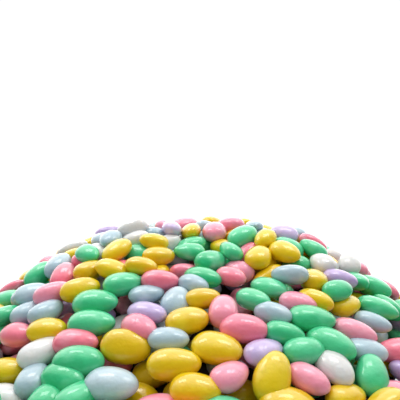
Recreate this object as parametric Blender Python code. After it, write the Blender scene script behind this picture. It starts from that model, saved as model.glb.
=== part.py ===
"""A heap of sugared almonds lying on a table, as one solid.

Every almond is an egg with a long, a wide and a flat way. The almonds are laid one after another on a
plain mound, each where it comes to rest lowest. Those that show are fused onto a core that fills the
inside of the heap. Metres, +Z up, the table at z = 0, the summit over the origin, the front towards -Y.
"""
import math
import random

import bmesh
import bpy
import numpy as np
from mathutils import Matrix

MM = 0.001

# The heap, measured from its summit
HALF_WIDTH = 196 * MM
FRONT_DEPTH = 205 * MM
BACK_DEPTH = 185 * MM
HEIGHT = 88 * MM
APRON = 25 * MM          # how far the front lies below the sides, as a gentler slope
ROUNDING = 3.2           # a higher power gives a flatter top
FOOT = 1.5               # a higher power lets the foot run out further

# One almond: its length, and its width and thickness as shares of that
LENGTH = (23.5 * MM, 29 * MM)
WIDTH = (0.63, 0.73)
THICKNESS = (0.46, 0.56)
TAPER = (0.06, 0.20)     # how much the blunt end is fuller than the middle

# How the almonds lie
SEED = 7
LAYERS = 30 * MM         # depth of loose almonds over the mound they are laid on
LOWER_LAYER = 13 * MM    # how far the lower layer stays under the heap's surface
PROUD = 5.0 * MM         # how far an almond may stand proud of the heap's surface
HALF_THICK = 6 * MM      # an almond's centre lies this far under the surface
LOWEST_LEVEL = 9 * MM    # and no lower than this, so that almonds gather round the foot too
SINK = 2.2 * MM          # almonds press into each other by this much
LEAN = 0.25              # spread of the tilt of an almond against the slope, as a gradient
FOLLOW = 0.4             # share of the slope that an almond's tilt follows
EDGE = 0.985             # almonds are dropped inside this share of the outline
COVER = 0.4              # share of an almond that may lie over one of the placed ones
LOWER_DROPS = 900
UPPER_DROPS = 1500
TRIES = 20               # places tried for each almond
NUDGES = 26              # small moves tried at the best of them
NUDGE = (1.6 * MM, 1.6 * MM, 0.22, 0.10, 0.10)          # spread of a move: across, depth, turn and two tilts
PLACED_PLAY = (-1.5 * MM, 1 * MM)    # how far a placed almond may lie off the surface
SLOPE_STEP = 2 * MM      # reach to each side over which a slope is measured
CELL = 1 * MM            # grid of the bed that almonds come to rest on
MARGIN = 30 * MM

# Almonds that stand out on the front slope, placed one by one from the foot upwards, in millimetres and
# degrees: across, depth, turn, how far it faces the front more than its neighbours, length
PLACED = [
    (11, -163, 0, 0, 26), (-20, -161, 20, 0, 24), (42, -157, 0, 0, 29), (-2, -155, -5, 0, 26),
    (-58, -154, 50, 0, 26), (-74, -152, 80, 0, 25), (-43, -150, -14, 0, 29), (72, -149, 30, 0, 24),
    (15, -148, 45, 0, 24), (36, -147, 75, 35, 29), (-98, -146, -20, 0, 26), (54, -146, -45, 0, 24),
    (-69, -143, -30, 0, 26), (101, -142, 10, 0, 28), (-13, -142, 3, 0, 29), (-86, -139, 90, 0, 25),
    (70, -138, -70, 0, 25), (-63, -136, -5, 0, 29), (90, -135, 80, 25, 27), (34, -134, 35, 0, 25),
    (9, -132, -20, 5, 29), (56, -131, 15, 15, 25), (-40, -128, -15, 40, 29), (-17, -127, -5, 0, 24),
    (-106, -125, -15, 0, 26), (-87, -124, 40, 0, 27), (-68, -124, -10, 0, 27), (72, -124, -40, 0, 29),
    (47, -122, -15, 0, 24), (93, -121, 0, 0, 25), (25, -120, -8, 0, 29), (-34, -119, -45, 0, 25),
    (-7, -114, 20, 10, 27), (-62, -113, -3, 0, 29), (90, -111, -20, 0, 27), (-89, -110, -10, 0, 25),
    (66, -109, -3, 0, 29), (-31, -108, -25, 0, 26), (43, -108, -30, 0, 24), (14, -106, 85, 12, 28),
    (-108, -105, -30, 0, 26), (60, -98, -25, 0, 24), (33, -97, -45, 0, 25), (-64, -97, 0, 0, 29),
    (-95, -95, 60, 0, 25), (-15, -95, 80, 25, 26), (2, -95, 10, 0, 24), (72, -94, -35, 0, 24),
    (108, -93, -20, 0, 24), (-34, -88, 25, 0, 24), (-110, -85, 55, 0, 25), (-50, -82, 30, 0, 27),
    (45, -82, -35, 0, 26), (-4, -81, -40, 0, 24), (-96, -79, 30, 0, 27), (117, -79, -20, 0, 28),
    (-26, -78, 0, 0, 27), (2, -73, -35, 0, 29), (21, -73, -50, 0, 25), (77, -70, 80, 0, 27),
    (97, -65, 0, 0, 26), (-77, -60, 50, 0, 26), (-122, -58, 60, 0, 25), (-97, -57, 85, 30, 26),
    (-139, -48, -10, 0, 27), (130, -40, -30, 0, 28), (-123, -33, 60, 30, 27),
]

# The solid
SHOWN = 215              # almonds fused on, those that show most
FACET = 1.06             # an almond's corners stand out so that its flat faces straddle the true surface
GROUND_GAP = 0.2 * MM    # only the core's flat base touches the table
CORE_DEPTH = 3 * MM      # the core lies this far under the almonds' mean height
CORE_PATCH = 12          # cells to each side that the mean is taken over
CORE_RIM = 2 * MM        # least thickness of the core, at its rim
CORE_SEGMENTS = 24       # faces round the core
CORE_RINGS = 14
CORE_REACH = 0.96        # share of the outline that the core fills
WELD = 0.02 * MM         # points of the fused heap that lie closer than this become one
THINNING = 0.86          # share of the fused heap's faces that stays
SHARP = math.radians(50)

COLOUR = (0.80, 0.62, 0.42, 1)
ROUGHNESS = 0.35


def reach(x, y):
    """0 under the summit and 1 along the heap's foot."""
    depth = FRONT_DEPTH if y < 0 else BACK_DEPTH
    return math.sqrt((x / HALF_WIDTH) ** 2 + (y / depth) ** 2)


def surface(x, y):
    """Height of the heap's surface over the table."""
    r = reach(x, y)
    if r >= 1:
        return 0.0
    ahead = max(-y / FRONT_DEPTH, 0.0) / r if r > 0 else 0.0
    return HEIGHT * (1 - r ** ROUNDING) ** FOOT - APRON * ahead ** 2 * math.sin(math.pi * r)


def centre_level(x, y):
    """Height at which an almond's centre lies when the almond is level with the heap's surface."""
    return max(surface(x, y) - HALF_THICK, LOWEST_LEVEL)


def first_bed():
    """Heights of the mound and the table that the first almonds lie on, over a square grid."""
    columns = round(2 * (HALF_WIDTH + MARGIN) / CELL) + 1
    rows = round((FRONT_DEPTH + BACK_DEPTH + 2 * MARGIN) / CELL) + 1
    bed = np.zeros((rows, columns))
    for row in range(rows):
        y = row * CELL - FRONT_DEPTH - MARGIN
        for column in range(columns):
            x = column * CELL - HALF_WIDTH - MARGIN
            bed[row, column] = max(surface(x, y) - LAYERS, SINK)
    return bed


def directions(x, y, turn, lean_x, lean_y):
    """Unit vectors along an almond's length, its width and its thickness."""
    fall_x = (surface(x + SLOPE_STEP, y) - surface(x - SLOPE_STEP, y)) / (2 * SLOPE_STEP)
    fall_y = (surface(x, y + SLOPE_STEP) - surface(x, y - SLOPE_STEP)) / (2 * SLOPE_STEP)
    flat = np.array([lean_x - FOLLOW * fall_x, lean_y - FOLLOW * fall_y, 1.0])
    flat /= math.sqrt(flat[0] ** 2 + flat[1] ** 2 + flat[2] ** 2)
    heading = np.array([math.cos(turn), math.sin(turn), 0.0])
    long = heading - flat * (heading[0] * flat[0] + heading[1] * flat[1])
    long /= math.sqrt(long[0] ** 2 + long[1] ** 2 + long[2] ** 2)
    return long, np.cross(flat, long), flat


def come_to_rest(bed, half, x, y, turn, lean_x, lean_y):
    """Lower an almond onto the bed: the height of its centre, the cells it covers and its upper side."""
    ways = directions(x, y, turn, lean_x, lean_y)
    form = sum(np.outer(way, way) / size ** 2 for way, size in zip(ways, half))
    column = math.floor((x - half[0] + HALF_WIDTH + MARGIN) / CELL) - 1
    row = math.floor((y - half[0] + FRONT_DEPTH + MARGIN) / CELL) - 1
    span = math.ceil(2 * half[0] / CELL) + 4
    dx = (np.arange(column, column + span) * CELL - HALF_WIDTH - MARGIN - x)[None, :]
    dy = (np.arange(row, row + span) * CELL - FRONT_DEPTH - MARGIN - y)[:, None]
    middle = -(form[0, 2] * dx + form[1, 2] * dy) / form[2, 2]
    level = form[0, 0] * dx * dx + 2 * form[0, 1] * dx * dy + form[1, 1] * dy * dy - 1
    square = middle * middle - level / form[2, 2]
    covered = square > 0
    thick = np.sqrt(np.where(covered, square, 0))
    window = (slice(row, row + span), slice(column, column + span))
    z = float(np.where(covered, bed[window] - middle + thick, 0).max()) - SINK
    return z, window, covered, z + middle + thick


def lay_almonds():
    """Lay the heap: each almond's place, ways, half sizes and taper, the area it shows, and the bed's top."""
    draw = random.Random(SEED)
    bed = first_bed()
    owner = np.full(bed.shape, -1)
    placed_cells = np.zeros(bed.shape, bool)
    almonds = []
    drops = [(-LOWER_LAYER, None)] * LOWER_DROPS
    drops += [(None, place) for place in PLACED]
    drops += [(PROUD, None)] * UPPER_DROPS
    for limit, place in drops:
        length = draw.uniform(*LENGTH) if place is None else place[4] * MM
        half = (length / 2, length * draw.uniform(*WIDTH) / 2, length * draw.uniform(*THICKNESS) / 2)
        taper = draw.uniform(*TAPER)

        def over_level(pose):
            z, window, covered, top = come_to_rest(bed, half, *pose)
            if place is None and placed_cells[window][covered].mean() > COVER:
                return math.inf
            return z - centre_level(pose[0], pose[1])

        poses = []
        if place is None:
            while len(poses) < TRIES:
                x = draw.uniform(-HALF_WIDTH, HALF_WIDTH)
                y = draw.uniform(-FRONT_DEPTH, BACK_DEPTH)
                if reach(x, y) < EDGE:
                    turn = draw.uniform(0, 2 * math.pi)
                    poses.append((x, y, turn, draw.gauss(0, LEAN), draw.gauss(0, LEAN)))
        else:
            faces_front = -math.tan(math.radians(place[3]))
            poses.append((place[0] * MM, place[1] * MM, math.radians(place[2]), 0.0, faces_front))
        heights = [over_level(pose) for pose in poses]
        height = min(heights)
        pose = poses[heights.index(height)]
        for nudge in range(NUDGES if place is None else 0):
            moved = tuple(value + draw.gauss(0, by) for value, by in zip(pose, NUDGE))
            if reach(moved[0], moved[1]) < 1:
                moved_height = over_level(moved)
                if moved_height < height:
                    pose, height = moved, moved_height
        if limit is not None and height > limit:
            continue
        z, window, covered, top = come_to_rest(bed, half, *pose)
        if place is not None:
            level = centre_level(pose[0], pose[1])
            held = min(max(z, level + PLACED_PLAY[0]), level + PLACED_PLAY[1])
            top = top + held - z
            z = held
        uppermost = covered & (top > bed[window])
        owner[window][uppermost] = len(almonds)
        bed[window][uppermost] = top[uppermost]
        if place is not None:
            placed_cells[window][covered] = True
        almonds.append(((pose[0], pose[1], z), directions(*pose), half, taper))
    slope_y, slope_x = np.gradient(first_bed(), CELL)
    steepness = np.sqrt(1 + slope_x ** 2 + slope_y ** 2)
    shows = np.bincount(owner[owner >= 0], weights=steepness[owner >= 0], minlength=len(almonds))
    return almonds, shows, bed


def almond(name, almond_data):
    """One almond: a cube drawn out to an egg, with a blunt end and a narrower one."""
    place, ways, half, taper = almond_data
    bm = bmesh.new()
    bmesh.ops.create_cube(bm, size=2)
    bmesh.ops.subdivide_edges(bm, edges=bm.edges[:], cuts=1, use_grid_fill=True)
    for vert in bm.verts:
        vert.co.normalize()
        fuller = 1 - taper * vert.co.x
        vert.co.y *= fuller
        vert.co.z *= fuller
    lie = Matrix([way.tolist() for way in ways]).transposed().to_4x4()
    bmesh.ops.scale(bm, vec=[FACET * size for size in half], verts=bm.verts[:])
    bmesh.ops.transform(bm, matrix=Matrix.Translation(place) @ lie, verts=bm.verts[:])
    for vert in bm.verts:
        vert.co.z = max(vert.co.z, GROUND_GAP)
    mesh = bpy.data.meshes.new(name)
    bm.to_mesh(mesh)
    bm.free()
    return bpy.data.objects.new(name, mesh)


def core_height(bed, x, y):
    """Height of the core's upper side, below the almonds that lie round this place."""
    row = round((y + FRONT_DEPTH + MARGIN) / CELL)
    column = round((x + HALF_WIDTH + MARGIN) / CELL)
    patch = bed[row - CORE_PATCH:row + CORE_PATCH + 1, column - CORE_PATCH:column + CORE_PATCH + 1]
    slope_x = (patch[:, -1].mean() - patch[:, 0].mean()) / (2 * CORE_PATCH * CELL)
    slope_y = (patch[-1, :].mean() - patch[0, :].mean()) / (2 * CORE_PATCH * CELL)
    return max(patch.mean() - CORE_DEPTH * math.sqrt(1 + slope_x ** 2 + slope_y ** 2), CORE_RIM)


def core(name, bed):
    """The filled inside of the heap: half a sphere drawn out to the heap's form, closed flat at the table."""
    bm = bmesh.new()
    bmesh.ops.create_uvsphere(bm, u_segments=CORE_SEGMENTS, v_segments=CORE_RINGS, radius=CORE_REACH)
    everything = bm.verts[:] + bm.edges[:] + bm.faces[:]
    bmesh.ops.bisect_plane(bm, geom=everything, plane_co=(0, 0, 0), plane_no=(0, 0, -1), clear_outer=True)
    for vert in bm.verts:
        x = vert.co.x * HALF_WIDTH
        y = vert.co.y * (FRONT_DEPTH if vert.co.y < 0 else BACK_DEPTH)
        rim = vert.is_boundary
        vert.co = (x, y, 0 if rim else core_height(bed, x, y))
    bmesh.ops.holes_fill(bm, edges=[edge for edge in bm.edges if edge.is_boundary])
    mesh = bpy.data.meshes.new(name)
    bm.to_mesh(mesh)
    bm.free()
    return bpy.data.objects.new(name, mesh)


def keep_largest_body(bm):
    """Drop loose scraps, and the walls of hollows that fusing has sealed, which fills them."""
    left = set(bm.verts)
    bodies = []
    while left:
        body = {left.pop()}
        outermost = body
        while outermost:
            near = {edge.other_vert(vert) for vert in outermost for edge in vert.link_edges}
            outermost = near - body
            body |= near
        left -= body
        bodies.append(body)
    bodies.sort(key=len)
    for body in bodies[:-1]:
        bmesh.ops.delete(bm, geom=list(body), context="VERTS")


for item in list(bpy.data.objects):
    bpy.data.objects.remove(item, do_unlink=True)

parts = bpy.data.collections.new("sugared_almonds")
shown = bpy.data.collections.new("almonds_that_show")
bpy.context.scene.collection.children.link(parts)
bpy.context.scene.collection.children.link(shown)

almonds, shows, bed = lay_almonds()
order = sorted(range(len(almonds)), key=lambda index: -shows[index])
for index in order[:SHOWN]:
    shown.objects.link(almond(f"almond_{index:03d}", almonds[index]))

heap = core("almond_heap", bed)
parts.objects.link(heap)
fuse = heap.modifiers.new("fuse", "BOOLEAN")
fuse.operation = "UNION"
fuse.operand_type = "COLLECTION"
fuse.collection = shown
fuse.solver = "EXACT"
fused = bpy.data.meshes.new_from_object(heap.evaluated_get(bpy.context.evaluated_depsgraph_get()))
heap.modifiers.clear()
heap.data = fused
for item in list(shown.objects):
    bpy.data.objects.remove(item, do_unlink=True)
bpy.data.collections.remove(shown)

bm = bmesh.new()
bm.from_mesh(heap.data)
keep_largest_body(bm)
bmesh.ops.remove_doubles(bm, verts=bm.verts[:], dist=WELD)
needless = [vert for vert in bm.verts if len(vert.link_edges) == 2]
bmesh.ops.dissolve_verts(bm, verts=needless)
bmesh.ops.triangulate(bm, faces=bm.faces[:])
bm.to_mesh(heap.data)
bm.free()

shell = bpy.data.materials.new("sugar_shell")
shell.use_nodes = True
finish = shell.node_tree.nodes["Principled BSDF"]
finish.inputs["Base Color"].default_value = COLOUR
finish.inputs["Roughness"].default_value = ROUGHNESS
heap.data.materials.clear()
heap.data.materials.append(shell)
heap.data.shade_smooth()
heap.data.set_sharp_from_angle(angle=SHARP)
thin = heap.modifiers.new("thin", "DECIMATE")
thin.ratio = THINNING
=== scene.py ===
import math
import random

import bmesh
import bpy
import numpy as np
from mathutils import Matrix, Vector


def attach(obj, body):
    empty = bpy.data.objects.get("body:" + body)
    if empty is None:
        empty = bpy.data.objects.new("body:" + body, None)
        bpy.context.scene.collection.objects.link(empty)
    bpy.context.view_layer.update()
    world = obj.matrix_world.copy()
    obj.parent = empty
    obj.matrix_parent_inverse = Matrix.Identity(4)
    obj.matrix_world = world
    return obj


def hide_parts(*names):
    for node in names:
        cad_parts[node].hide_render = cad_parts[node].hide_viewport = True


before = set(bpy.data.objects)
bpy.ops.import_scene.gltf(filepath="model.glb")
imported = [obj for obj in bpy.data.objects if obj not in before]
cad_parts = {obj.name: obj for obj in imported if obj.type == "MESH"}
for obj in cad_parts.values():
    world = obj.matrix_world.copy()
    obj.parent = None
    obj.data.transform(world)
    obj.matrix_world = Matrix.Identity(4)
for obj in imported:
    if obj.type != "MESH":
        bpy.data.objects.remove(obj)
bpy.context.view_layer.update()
MM = 0.001

# The heap as it lies. Loose almonds poured out on a table hold each other up in a broad, low mound, with a
# gentler slope at the front. Each almond is laid where it comes to rest lowest, by the rule and the random
# draws that the solid was made with, so that every almond lies where the solid has it.
HALF_WIDTH = 196 * MM
FRONT_DEPTH = 205 * MM
BACK_DEPTH = 185 * MM
HEIGHT = 88 * MM
APRON = 25 * MM          # how far the front lies below the sides, as a gentler slope
ROUNDING = 3.2           # a higher power gives a flatter top
FOOT = 1.5               # a higher power lets the foot run out further
LENGTH = (23.5 * MM, 29 * MM)
WIDTH = (0.63, 0.73)     # shares of the length
THICKNESS = (0.46, 0.56)
TAPER = (0.06, 0.20)     # how much the blunt end is fuller than the middle
LAYING_SEED = 7
LAYERS = 30 * MM         # depth of loose almonds over the mound they are laid on
LOWER_LAYER = 13 * MM    # how far the lower layer stays under the heap's surface
PROUD = 5.0 * MM         # how far an almond may stand proud of the heap's surface
HALF_THICK = 6 * MM      # an almond's centre lies this far under the surface
LOWEST_LEVEL = 9 * MM    # and no lower than this, so that almonds gather round the foot too
SINK = 2.2 * MM          # almonds press into each other by this much
LEAN = 0.25              # spread of the tilt of an almond against the slope, as a gradient
FOLLOW = 0.4             # share of the slope that an almond's tilt follows
EDGE = 0.985             # almonds are dropped inside this share of the outline
COVER = 0.4              # share of an almond that may lie over one of the placed ones
LOWER_DROPS = 900
UPPER_DROPS = 1500
TRIES = 20               # places tried for each almond
NUDGES = 26              # small moves tried at the best of them
NUDGE = (1.6 * MM, 1.6 * MM, 0.22, 0.10, 0.10)          # spread of a move: across, depth, turn and two tilts
PLACED_PLAY = (-1.5 * MM, 1 * MM)    # how far a placed almond may lie off the surface
SLOPE_STEP = 2 * MM      # reach to each side over which a slope is measured
CELL = 1 * MM            # grid of the bed that almonds come to rest on
MARGIN = 30 * MM

# Almonds that stand out on the front slope, placed one by one from the foot upwards, in millimetres and
# degrees: across, depth, turn, how far it faces the front more than its neighbours, length, kind
PLACED = [
    (11, -163, 0, 0, 26, "green"), (-20, -161, 20, 0, 24, "pink"), (42, -157, 0, 0, 29, "yellow"),
    (-2, -155, -5, 0, 26, "yellow"), (-58, -154, 50, 0, 26, "green"), (-74, -152, 80, 0, 25, "green"),
    (-43, -150, -14, 0, 29, "blue"), (72, -149, 30, 0, 24, "yellow"), (15, -148, 45, 0, 24, "pink"),
    (36, -147, 75, 35, 29, "yellow"), (-98, -146, -20, 0, 26, "white"), (54, -146, -45, 0, 24, "pink"),
    (-69, -143, -30, 0, 26, "green"), (101, -142, 10, 0, 28, "pink"), (-13, -142, 3, 0, 29, "yellow"),
    (-86, -139, 90, 0, 25, "blue"), (70, -138, -70, 0, 25, "white"), (-63, -136, -5, 0, 29, "green"),
    (90, -135, 80, 25, 27, "green"), (34, -134, 35, 0, 25, "lavender"), (9, -132, -20, 5, 29, "yellow"),
    (56, -131, 15, 15, 25, "green"), (-40, -128, -15, 40, 29, "yellow"), (-17, -127, -5, 0, 24, "blue"),
    (-106, -125, -15, 0, 26, "yellow"), (-87, -124, 40, 0, 27, "white"), (-68, -124, -10, 0, 27, "pink"),
    (72, -124, -40, 0, 29, "green"), (47, -122, -15, 0, 24, "green"), (93, -121, 0, 0, 25, "blue"),
    (25, -120, -8, 0, 29, "pink"), (-34, -119, -45, 0, 25, "pink"), (-7, -114, 20, 10, 27, "yellow"),
    (-62, -113, -3, 0, 29, "green"), (90, -111, -20, 0, 27, "pink"), (-89, -110, -10, 0, 25, "yellow"),
    (66, -109, -3, 0, 29, "green"), (-31, -108, -25, 0, 26, "lavender"), (43, -108, -30, 0, 24, "blue"),
    (14, -106, 85, 12, 28, "pink"), (-108, -105, -30, 0, 26, "pink"), (60, -98, -25, 0, 24, "pink"),
    (33, -97, -45, 0, 25, "green"), (-64, -97, 0, 0, 29, "green"), (-95, -95, 60, 0, 25, "blue"),
    (-15, -95, 80, 25, 26, "blue"), (2, -95, 10, 0, 24, "yellow"), (72, -94, -35, 0, 24, "yellow"),
    (108, -93, -20, 0, 24, "blue"), (-34, -88, 25, 0, 24, "blue"), (-110, -85, 55, 0, 25, "blue"),
    (-50, -82, 30, 0, 27, "green"), (45, -82, -35, 0, 26, "green"), (-4, -81, -40, 0, 24, "blue"),
    (-96, -79, 30, 0, 27, "pink"), (117, -79, -20, 0, 28, "green"), (-26, -78, 0, 0, 27, "pink"),
    (2, -73, -35, 0, 29, "green"), (21, -73, -50, 0, 25, "pink"), (77, -70, 80, 0, 27, "yellow"),
    (97, -65, 0, 0, 26, "lavender"), (-77, -60, 50, 0, 26, "yellow"), (-122, -58, 60, 0, 25, "blue"),
    (-97, -57, 85, 30, 26, "pink"), (-139, -48, -10, 0, 27, "green"), (130, -40, -30, 0, 28, "green"),
    (-123, -33, 60, 30, 27, "green"),
]


def reach(x, y):
    """0 under the summit and 1 along the heap's foot."""
    depth = FRONT_DEPTH if y < 0 else BACK_DEPTH
    return math.sqrt((x / HALF_WIDTH) ** 2 + (y / depth) ** 2)


def surface(x, y):
    """Height of the heap's surface over the table."""
    r = reach(x, y)
    if r >= 1:
        return 0.0
    ahead = max(-y / FRONT_DEPTH, 0.0) / r if r > 0 else 0.0
    return HEIGHT * (1 - r ** ROUNDING) ** FOOT - APRON * ahead ** 2 * math.sin(math.pi * r)


def centre_level(x, y):
    """Height at which an almond's centre lies when the almond is level with the heap's surface."""
    return max(surface(x, y) - HALF_THICK, LOWEST_LEVEL)


def first_bed():
    """Heights of the mound and the table that the first almonds lie on, over a square grid."""
    columns = round(2 * (HALF_WIDTH + MARGIN) / CELL) + 1
    rows = round((FRONT_DEPTH + BACK_DEPTH + 2 * MARGIN) / CELL) + 1
    bed = np.zeros((rows, columns))
    for row in range(rows):
        y = row * CELL - FRONT_DEPTH - MARGIN
        for column in range(columns):
            x = column * CELL - HALF_WIDTH - MARGIN
            bed[row, column] = max(surface(x, y) - LAYERS, SINK)
    return bed


def directions(x, y, turn, lean_x, lean_y):
    """Unit vectors along an almond's length, its width and its thickness."""
    fall_x = (surface(x + SLOPE_STEP, y) - surface(x - SLOPE_STEP, y)) / (2 * SLOPE_STEP)
    fall_y = (surface(x, y + SLOPE_STEP) - surface(x, y - SLOPE_STEP)) / (2 * SLOPE_STEP)
    flat = np.array([lean_x - FOLLOW * fall_x, lean_y - FOLLOW * fall_y, 1.0])
    flat /= math.sqrt(flat[0] ** 2 + flat[1] ** 2 + flat[2] ** 2)
    heading = np.array([math.cos(turn), math.sin(turn), 0.0])
    long = heading - flat * (heading[0] * flat[0] + heading[1] * flat[1])
    long /= math.sqrt(long[0] ** 2 + long[1] ** 2 + long[2] ** 2)
    return long, np.cross(flat, long), flat


def come_to_rest(bed, half, x, y, turn, lean_x, lean_y):
    """Lower an almond onto the bed: the height of its centre, the cells it covers and its upper side."""
    ways = directions(x, y, turn, lean_x, lean_y)
    form = sum(np.outer(way, way) / size ** 2 for way, size in zip(ways, half))
    column = math.floor((x - half[0] + HALF_WIDTH + MARGIN) / CELL) - 1
    row = math.floor((y - half[0] + FRONT_DEPTH + MARGIN) / CELL) - 1
    span = math.ceil(2 * half[0] / CELL) + 4
    dx = (np.arange(column, column + span) * CELL - HALF_WIDTH - MARGIN - x)[None, :]
    dy = (np.arange(row, row + span) * CELL - FRONT_DEPTH - MARGIN - y)[:, None]
    middle = -(form[0, 2] * dx + form[1, 2] * dy) / form[2, 2]
    level = form[0, 0] * dx * dx + 2 * form[0, 1] * dx * dy + form[1, 1] * dy * dy - 1
    square = middle * middle - level / form[2, 2]
    covered = square > 0
    thick = np.sqrt(np.where(covered, square, 0))
    window = (slice(row, row + span), slice(column, column + span))
    z = float(np.where(covered, bed[window] - middle + thick, 0).max()) - SINK
    return z, window, covered, z + middle + thick


def lay_almonds():
    """Lay the heap: for each almond its place, ways, half sizes, taper and kind, and the bed's top."""
    draw = random.Random(LAYING_SEED)
    bed = first_bed()
    placed_cells = np.zeros(bed.shape, bool)
    almonds = []
    drops = [(-LOWER_LAYER, None)] * LOWER_DROPS
    drops += [(None, place) for place in PLACED]
    drops += [(PROUD, None)] * UPPER_DROPS
    for limit, place in drops:
        length = draw.uniform(*LENGTH) if place is None else place[4] * MM
        half = (length / 2, length * draw.uniform(*WIDTH) / 2, length * draw.uniform(*THICKNESS) / 2)
        taper = draw.uniform(*TAPER)

        def over_level(pose):
            z, window, covered, top = come_to_rest(bed, half, *pose)
            if place is None and placed_cells[window][covered].mean() > COVER:
                return math.inf
            return z - centre_level(pose[0], pose[1])

        poses = []
        if place is None:
            while len(poses) < TRIES:
                x = draw.uniform(-HALF_WIDTH, HALF_WIDTH)
                y = draw.uniform(-FRONT_DEPTH, BACK_DEPTH)
                if reach(x, y) < EDGE:
                    turn = draw.uniform(0, 2 * math.pi)
                    poses.append((x, y, turn, draw.gauss(0, LEAN), draw.gauss(0, LEAN)))
        else:
            faces_front = -math.tan(math.radians(place[3]))
            poses.append((place[0] * MM, place[1] * MM, math.radians(place[2]), 0.0, faces_front))
        heights = [over_level(pose) for pose in poses]
        height = min(heights)
        pose = poses[heights.index(height)]
        for nudge in range(NUDGES if place is None else 0):
            moved = tuple(value + draw.gauss(0, by) for value, by in zip(pose, NUDGE))
            if reach(moved[0], moved[1]) < 1:
                moved_height = over_level(moved)
                if moved_height < height:
                    pose, height = moved, moved_height
        if limit is not None and height > limit:
            continue
        z, window, covered, top = come_to_rest(bed, half, *pose)
        if place is not None:
            level = centre_level(pose[0], pose[1])
            held = min(max(z, level + PLACED_PLAY[0]), level + PLACED_PLAY[1])
            top = top + held - z
            z = held
        uppermost = covered & (top > bed[window])
        bed[window][uppermost] = top[uppermost]
        if place is not None:
            placed_cells[window][covered] = True
        kind = None if place is None else place[5]
        almonds.append(((pose[0], pose[1], z), directions(*pose), half, taper, kind))
    return almonds, bed


almonds, bed = lay_almonds()

# The mix of kinds. The sweets are tipped together from batches of one colour each, so the kinds lie at
# random, yellow, pink and green most often. The almonds of the front slope have their kind set above.
MIX_SEED = 4697
MIX = {"yellow": 29, "pink": 19, "green": 20, "blue": 15, "lavender": 8, "white": 9}

mixing = random.Random(MIX_SEED)
by_kind = {kind: [] for kind in MIX}
for place, ways, half, taper, kind in almonds:
    drawn = mixing.choices(list(MIX), weights=list(MIX.values()))[0]
    by_kind[kind or drawn].append((place, ways, half, taper))

# The yellow almonds, the commonest. A roasted almond is rolled in syrup in a turning pan until the sugar sets
# as a hard, smooth egg, fuller at one end and drawn out a little at the other. The pan leaves the shell
# gently lumpy, and no two almonds take quite the same colour.
CAGE = 1.19              # an almond's cage stands out by this much, as smoothing draws it in again
LUMPS = 0.016            # spread of the shell's unevenness, as a share of its size
TIP = (0.0, 0.16)        # how much the narrow end is drawn out
SMOOTHING = 2
BLUSH_SCALE = 70         # patches of blush to a metre
BLUSH_RANGE = (0.52, 0.72)           # noise from which the blush comes in, and where it is full
BLUSH_SHARE = 0.55
GLOSS_SCALE = 220        # duller and shinier patches to a metre
GLOSS_RANGE = (0.3, 0.7)
ROUGHNESS = (0.30, 0.42)
SHINE = 0.25
GLAZE = 0.9              # the clear coat that polishing leaves
GLAZE_ROUGHNESS = 0.10
DEPTH_SHARE = 0.2        # share of the light that goes a little way into the sugar
DEPTH_COLOUR = (1.0, 0.7, 0.5)
DEPTH = 2 * MM
WAVE_SCALE = 150         # waves of the shell to a metre
WAVE_STRENGTH = 0.7
WAVE_HEIGHT = 1.2 * MM
GRAIN_SCALE = 1100       # grains of sugar to a metre
GRAIN_STRENGTH = 0.12
GRAIN_HEIGHT = 0.1 * MM


def egg_cage():
    """A cube with its faces cut in four, rounded: the cage that every almond starts from."""
    bm = bmesh.new()
    bmesh.ops.create_cube(bm, size=2)
    bmesh.ops.subdivide_edges(bm, edges=bm.edges[:], cuts=1, use_grid_fill=True)
    for vert in bm.verts:
        vert.co.normalize()
    cage = bpy.data.meshes.new("egg_cage")
    bm.to_mesh(cage)
    bm.free()
    return cage


def almonds_of_kind(name, kind, shell, seed):
    """All almonds of one kind as one piece, each with its own tint as an attribute."""
    draw = random.Random(seed)
    bm = bmesh.new()
    tint_of = bm.verts.layers.float.new("tint")
    cage = egg_cage()
    for place, ways, half, taper in by_kind[kind]:
        before = len(bm.verts)
        bm.from_mesh(cage)
        bm.verts.ensure_lookup_table()
        verts = bm.verts[before:]
        tip = draw.uniform(*TIP)
        tint = draw.random()
        for vert in verts:
            fuller = (1 - taper * vert.co.x) * (1 + draw.gauss(0, LUMPS))
            vert.co.y *= fuller
            vert.co.z *= fuller
            drawn_out = vert.co.x + tip * max(vert.co.x, 0) ** 3
            vert.co.x = (drawn_out - tip / 2) / (1 + tip / 2)
            vert[tint_of] = tint
        lie = Matrix([way.tolist() for way in ways]).transposed().to_4x4()
        bmesh.ops.scale(bm, vec=[CAGE * size for size in half], verts=verts)
        bmesh.ops.rotate(bm, matrix=lie, verts=verts)
        underside = place[2] + min(vert.co.z for vert in verts)
        lift = max(-underside, 0)
        bmesh.ops.translate(bm, vec=Vector(place) + Vector((0, 0, lift)), verts=verts)
    bpy.data.meshes.remove(cage)
    mesh = bpy.data.meshes.new(name)
    bm.to_mesh(mesh)
    bm.free()
    mesh.shade_smooth()
    mesh.materials.append(shell)
    piece = bpy.data.objects.new(name, mesh)
    bpy.context.scene.collection.objects.link(piece)
    smooth = piece.modifiers.new("smooth", "SUBSURF")
    smooth.levels = SMOOTHING
    smooth.render_levels = SMOOTHING
    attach(piece, "root")
    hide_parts("almond_heap")
    return piece


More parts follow.
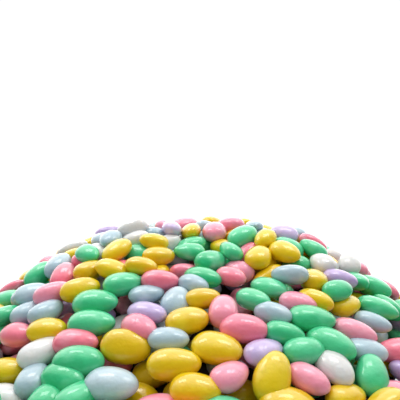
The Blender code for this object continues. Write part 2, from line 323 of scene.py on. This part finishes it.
def sugar_shell(name, deep, pale, blush):
    """A hard sugar shell: deep and pale are the ends of its colours, and blush mottles it here and there."""
    material = bpy.data.materials.new(name)
    material.use_nodes = True
    nodes = material.node_tree.nodes
    links = material.node_tree.links
    shell = nodes["Principled BSDF"]
    place = nodes.new("ShaderNodeTexCoord").outputs["Object"]

    def noise(scale, detail):
        texture = nodes.new("ShaderNodeTexNoise")
        texture.inputs["Scale"].default_value = scale
        texture.inputs["Detail"].default_value = detail
        links.new(place, texture.inputs["Vector"])
        return texture.outputs["Fac"]

    def spread(value, between, onto):
        fit = nodes.new("ShaderNodeMapRange")
        links.new(value, fit.inputs["Value"])
        fit.inputs["From Min"].default_value = between[0]
        fit.inputs["From Max"].default_value = between[1]
        fit.inputs["To Min"].default_value = onto[0]
        fit.inputs["To Max"].default_value = onto[1]
        return fit.outputs["Result"]

    def bump(height, strength, distance):
        relief = nodes.new("ShaderNodeBump")
        relief.inputs["Strength"].default_value = strength
        relief.inputs["Distance"].default_value = distance
        links.new(height, relief.inputs["Height"])
        return relief

    def blend(share, first, second):
        mix = nodes.new("ShaderNodeMix")
        mix.data_type = "RGBA"
        links.new(share, mix.inputs["Factor"])
        for socket, colour in (("A", first), ("B", second)):
            if isinstance(colour, tuple):
                mix.inputs[socket].default_value = (*colour, 1)
            else:
                links.new(colour, mix.inputs[socket])
        return mix.outputs["Result"]

    tint = nodes.new("ShaderNodeAttribute")
    tint.attribute_name = "tint"
    batch = blend(tint.outputs["Fac"], deep, pale)
    mottling = spread(noise(BLUSH_SCALE, detail=2), BLUSH_RANGE, (0, BLUSH_SHARE))
    links.new(blend(mottling, batch, blush), shell.inputs["Base Color"])
    dullness = spread(noise(GLOSS_SCALE, detail=3), GLOSS_RANGE, ROUGHNESS)
    links.new(dullness, shell.inputs["Roughness"])
    shell.inputs["Specular IOR Level"].default_value = SHINE
    shell.inputs["Coat Weight"].default_value = GLAZE
    shell.inputs["Coat Roughness"].default_value = GLAZE_ROUGHNESS
    shell.inputs["Subsurface Weight"].default_value = DEPTH_SHARE
    shell.inputs["Subsurface Radius"].default_value = DEPTH_COLOUR
    shell.inputs["Subsurface Scale"].default_value = DEPTH
    waves = bump(noise(WAVE_SCALE, detail=3), WAVE_STRENGTH, WAVE_HEIGHT)
    grain = bump(noise(GRAIN_SCALE, detail=2), GRAIN_STRENGTH, GRAIN_HEIGHT)
    links.new(waves.outputs["Normal"], grain.inputs["Normal"])
    links.new(grain.outputs["Normal"], shell.inputs["Normal"])
    return material


yellow_shell = sugar_shell(
    "yellow_shell", deep=(0.84, 0.54, 0.004), pale=(0.88, 0.64, 0.010), blush=(0.92, 0.73, 0.03)
)
yellow_almonds = almonds_of_kind("yellow_almonds", "yellow", yellow_shell, seed=11)

# The pink almonds. Their sugar is stained a warm pink, from salmon to a paler rose.
pink_shell = sugar_shell(
    "pink_shell", deep=(0.97, 0.20, 0.29), pale=(0.99, 0.37, 0.50), blush=(0.99, 0.51, 0.64)
)
pink_almonds = almonds_of_kind("pink_almonds", "pink", pink_shell, seed=12)

# The green almonds. Their sugar is a fresh mint green, the deepest of the colours.
green_shell = sugar_shell(
    "green_shell", deep=(0.03, 0.57, 0.23), pale=(0.11, 0.71, 0.35), blush=(0.24, 0.80, 0.48)
)
green_almonds = almonds_of_kind("green_almonds", "green", green_shell, seed=13)

# The pale blue almonds. Their sugar has hardly any stain: from a greyish blue to a faint sky blue.
blue_shell = sugar_shell(
    "blue_shell", deep=(0.37, 0.54, 0.62), pale=(0.51, 0.66, 0.73), blush=(0.66, 0.77, 0.82)
)
blue_almonds = almonds_of_kind("blue_almonds", "blue", blue_shell, seed=14)

# The lavender almonds, from a clear purple to a pale lilac.
lavender_shell = sugar_shell(
    "lavender_shell", deep=(0.45, 0.31, 0.64), pale=(0.67, 0.54, 0.82), blush=(0.77, 0.66, 0.88)
)
lavender_almonds = almonds_of_kind("lavender_almonds", "lavender", lavender_shell, seed=15)

# The white almonds. Their sugar is left unstained, a warm white that takes up colour from its neighbours.
white_shell = sugar_shell(
    "white_shell", deep=(0.70, 0.69, 0.66), pale=(0.76, 0.76, 0.75), blush=(0.82, 0.82, 0.82)
)
white_almonds = almonds_of_kind("white_almonds", "white", white_shell, seed=16)

# The inside of the heap, coloured with painted shade. Between the almonds hardly any light gets down, so this
# body is a near-black, dull brown depth that stands in for the shaded almonds deep in the gaps. It is one
# closed body under the almonds, cut flat where the heap lies on the table.
CORE_DEPTH = 22 * MM     # how far it lies under the almonds' mean height
CORE_PATCH = 12          # cells to each side that the mean is taken over
CORE_RIM = 2 * MM        # least thickness, at its rim
CORE_REACH = 0.78        # share of the outline that it fills
CORE_SEGMENTS = 96
CORE_RINGS = 56
SHADE_SPECK_SCALE = 160         # specks in the painted shade to a metre
# painted shade: two near-black browns that stand in for the shaded almonds deep in the gaps
PAINTED_SHADE_COLOURS = {"A": (0.008, 0.004, 0.003, 1), "B": (0.020, 0.011, 0.009, 1)}
INSIDE_ROUGHNESS = 0.8


def core_height(x, y):
    """Height of the inside, below the almonds that lie round this place."""
    row = round((y + FRONT_DEPTH + MARGIN) / CELL)
    column = round((x + HALF_WIDTH + MARGIN) / CELL)
    patch = bed[row - CORE_PATCH:row + CORE_PATCH + 1, column - CORE_PATCH:column + CORE_PATCH + 1]
    slope_x = (patch[:, -1].mean() - patch[:, 0].mean()) / (2 * CORE_PATCH * CELL)
    slope_y = (patch[-1, :].mean() - patch[0, :].mean()) / (2 * CORE_PATCH * CELL)
    return max(patch.mean() - CORE_DEPTH * math.sqrt(1 + slope_x ** 2 + slope_y ** 2), CORE_RIM)


def painted_shade_depth():
    """Painted shade for the dark between almonds: near-black, with faint specks in it."""
    material = bpy.data.materials.new("heap_inside")
    material.use_nodes = True
    nodes = material.node_tree.nodes
    links = material.node_tree.links
    shell = nodes["Principled BSDF"]
    specks = nodes.new("ShaderNodeTexNoise")
    specks.inputs["Scale"].default_value = SHADE_SPECK_SCALE
    specks.inputs["Detail"].default_value = 3
    links.new(nodes.new("ShaderNodeTexCoord").outputs["Object"], specks.inputs["Vector"])
    shade = nodes.new("ShaderNodeMix")
    shade.data_type = "RGBA"
    # the painted shade colours, mottled with faint specks
    for socket, colour in PAINTED_SHADE_COLOURS.items():
        shade.inputs[socket].default_value = colour
    links.new(specks.outputs["Fac"], shade.inputs["Factor"])
    links.new(shade.outputs["Result"], shell.inputs["Base Color"])
    shell.inputs["Roughness"].default_value = INSIDE_ROUGHNESS
    return material


bm = bmesh.new()
bmesh.ops.create_uvsphere(bm, u_segments=CORE_SEGMENTS, v_segments=CORE_RINGS, radius=CORE_REACH)
everything = bm.verts[:] + bm.edges[:] + bm.faces[:]
bmesh.ops.bisect_plane(bm, geom=everything, plane_co=(0, 0, 0), plane_no=(0, 0, -1), clear_outer=True)
for vert in bm.verts:
    x = vert.co.x * HALF_WIDTH
    y = vert.co.y * (FRONT_DEPTH if vert.co.y < 0 else BACK_DEPTH)
    vert.co = (x, y, 0 if vert.is_boundary else core_height(x, y))
bmesh.ops.holes_fill(bm, edges=[edge for edge in bm.edges if edge.is_boundary])
inside_mesh = bpy.data.meshes.new("heap_inside")
bm.to_mesh(inside_mesh)
bm.free()
inside_mesh.shade_smooth()
inside_mesh.materials.append(painted_shade_depth())
inside = bpy.data.objects.new("heap_inside", inside_mesh)
bpy.context.scene.collection.objects.link(inside)
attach(inside, "root")
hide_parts("almond_heap")

# The table, a plain white sheet that runs out of sight. To the camera it is as white as the backdrop. The
# shells don't mirror it, since in the picture they mirror only what hangs over them.
TABLE = 12               # metres each way
TABLE_WHITE = (0.40, 0.40, 0.40, 1)
TABLE_ROUGHNESS = 0.8
TABLE_GLOW = 0.8

bm = bmesh.new()
bmesh.ops.create_grid(bm, x_segments=1, y_segments=1, size=TABLE / 2)
table_mesh = bpy.data.meshes.new("table")
bm.to_mesh(table_mesh)
bm.free()
table_paper = bpy.data.materials.new("table_paper")
table_paper.use_nodes = True
nodes = table_paper.node_tree.nodes
links = table_paper.node_tree.links
paper = nodes["Principled BSDF"]
paper.inputs["Base Color"].default_value = TABLE_WHITE
paper.inputs["Roughness"].default_value = TABLE_ROUGHNESS
paper.inputs["Emission Color"].default_value = (1, 1, 1, 1)
glow = nodes.new("ShaderNodeMath")
glow.operation = "MULTIPLY"
glow.inputs[1].default_value = TABLE_GLOW
links.new(nodes.new("ShaderNodeLightPath").outputs["Is Camera Ray"], glow.inputs[0])
links.new(glow.outputs["Value"], paper.inputs["Emission Strength"])
table_mesh.materials.append(table_paper)
table = bpy.data.objects.new("table", table_mesh)
table.visible_glossy = False
bpy.context.scene.collection.objects.link(table)

# The studio. A very wide soft light hangs overhead, dim white walls stand all round, and the two at the
# sides are brighter. What the shells mirror is two softboxes over the heap and one bright sheet behind, so
# the gloss lies along their upper edges and their undersides keep a full colour. The backdrop is white.
LIGHT_FROM = (0, 0.20, 1.0)
LIGHT_STRENGTH = 1.8
LIGHT_WIDTH = math.radians(115)
SOFTBOX_SIZE = (0.20, 0.11)
SOFTBOX_PLACES = {"left": (-0.19, 0.03, 0.42), "right": (0.15, 0.0, 0.44)}
SOFTBOX_POWER = 0.36     # watts each
WALLS = 0.22
SIDE_WALLS = 1.0
SIDE_EDGE = 0.35         # how far sideways a way points where those two begin
SHEET = 2.1
SHEET_WAY = (0, 0.80, 0.60)
SHEET_EDGE = 0.15        # cosine of the angle from its middle at which it starts to show
SHEET_FULL = 0.80        # and of the angle inside which it is at its brightest
BACKDROP = 1.05

world = bpy.data.worlds.new("studio")
world.use_nodes = True
nodes = world.node_tree.nodes
links = world.node_tree.links
walls = nodes["Background"]
walls.inputs["Color"].default_value = (1, 1, 1, 1)
way = nodes.new("ShaderNodeTexCoord").outputs["Generated"]
parts = nodes.new("ShaderNodeSeparateXYZ")
links.new(way, parts.inputs["Vector"])
sideways = nodes.new("ShaderNodeMath")
sideways.operation = "ABSOLUTE"
links.new(parts.outputs["X"], sideways.inputs[0])
wall_light = nodes.new("ShaderNodeMapRange")
wall_light.inputs["From Min"].default_value = SIDE_EDGE
wall_light.inputs["To Min"].default_value = WALLS
wall_light.inputs["To Max"].default_value = SIDE_WALLS
links.new(sideways.outputs["Value"], wall_light.inputs["Value"])
links.new(wall_light.outputs["Result"], walls.inputs["Strength"])
sheet = nodes.new("ShaderNodeBackground")
sheet.inputs["Color"].default_value = (1, 1, 1, 1)
nearness = nodes.new("ShaderNodeVectorMath")
nearness.operation = "DOT_PRODUCT"
nearness.inputs[1].default_value = SHEET_WAY
links.new(way, nearness.inputs[0])
brightness = nodes.new("ShaderNodeMapRange")
brightness.interpolation_type = "SMOOTHSTEP"
brightness.inputs["From Min"].default_value = SHEET_EDGE
brightness.inputs["From Max"].default_value = SHEET_FULL
brightness.inputs["To Max"].default_value = SHEET
links.new(nearness.outputs["Value"], brightness.inputs["Value"])
links.new(brightness.outputs["Result"], sheet.inputs["Strength"])
backdrop = nodes.new("ShaderNodeBackground")
backdrop.inputs["Color"].default_value = (1, 1, 1, 1)
backdrop.inputs["Strength"].default_value = BACKDROP
path = nodes.new("ShaderNodeLightPath")
mirrored = nodes.new("ShaderNodeMixShader")
links.new(path.outputs["Is Glossy Ray"], mirrored.inputs["Fac"])
links.new(walls.outputs["Background"], mirrored.inputs[1])
links.new(sheet.outputs["Background"], mirrored.inputs[2])
seen = nodes.new("ShaderNodeMixShader")
links.new(path.outputs["Is Camera Ray"], seen.inputs["Fac"])
links.new(mirrored.outputs["Shader"], seen.inputs[1])
links.new(backdrop.outputs["Background"], seen.inputs[2])
links.new(seen.outputs["Shader"], nodes["World Output"].inputs["Surface"])
bpy.context.scene.world = world
overhead = bpy.data.lights.new("overhead", "SUN")
overhead.energy = LIGHT_STRENGTH
overhead.angle = LIGHT_WIDTH
overhead_object = bpy.data.objects.new("overhead", overhead)
overhead_object.location = LIGHT_FROM
overhead_object.rotation_euler = Vector(LIGHT_FROM).to_track_quat("Z", "Y").to_euler()
overhead_object.visible_glossy = False
bpy.context.scene.collection.objects.link(overhead_object)
for side, hung in SOFTBOX_PLACES.items():
    softbox = bpy.data.lights.new("softbox_" + side, "AREA")
    softbox.shape = "RECTANGLE"
    softbox.size = SOFTBOX_SIZE[0]
    softbox.size_y = SOFTBOX_SIZE[1]
    softbox.energy = SOFTBOX_POWER
    softbox_object = bpy.data.objects.new("softbox_" + side, softbox)
    softbox_object.location = hung
    bpy.context.scene.collection.objects.link(softbox_object)
bpy.context.scene.view_settings.view_transform = "Standard"

# The camera stands low in front of the heap and looks level over the front slope to the summit.
PICTURE = 400            # pixels each way
FOCAL = 420              # focal length in those pixels
SENSOR = 36              # millimetres across
CAMERA_PLACE = (0, -0.355, 0.108)
NEAR = 0.01

camera = bpy.data.cameras.new("camera")
camera.sensor_width = SENSOR
camera.lens = FOCAL / PICTURE * SENSOR
camera.clip_start = NEAR
camera_object = bpy.data.objects.new("camera", camera)
camera_object.location = CAMERA_PLACE
camera_object.rotation_euler = (math.pi / 2, 0, 0)
bpy.context.scene.collection.objects.link(camera_object)
bpy.context.scene.camera = camera_object
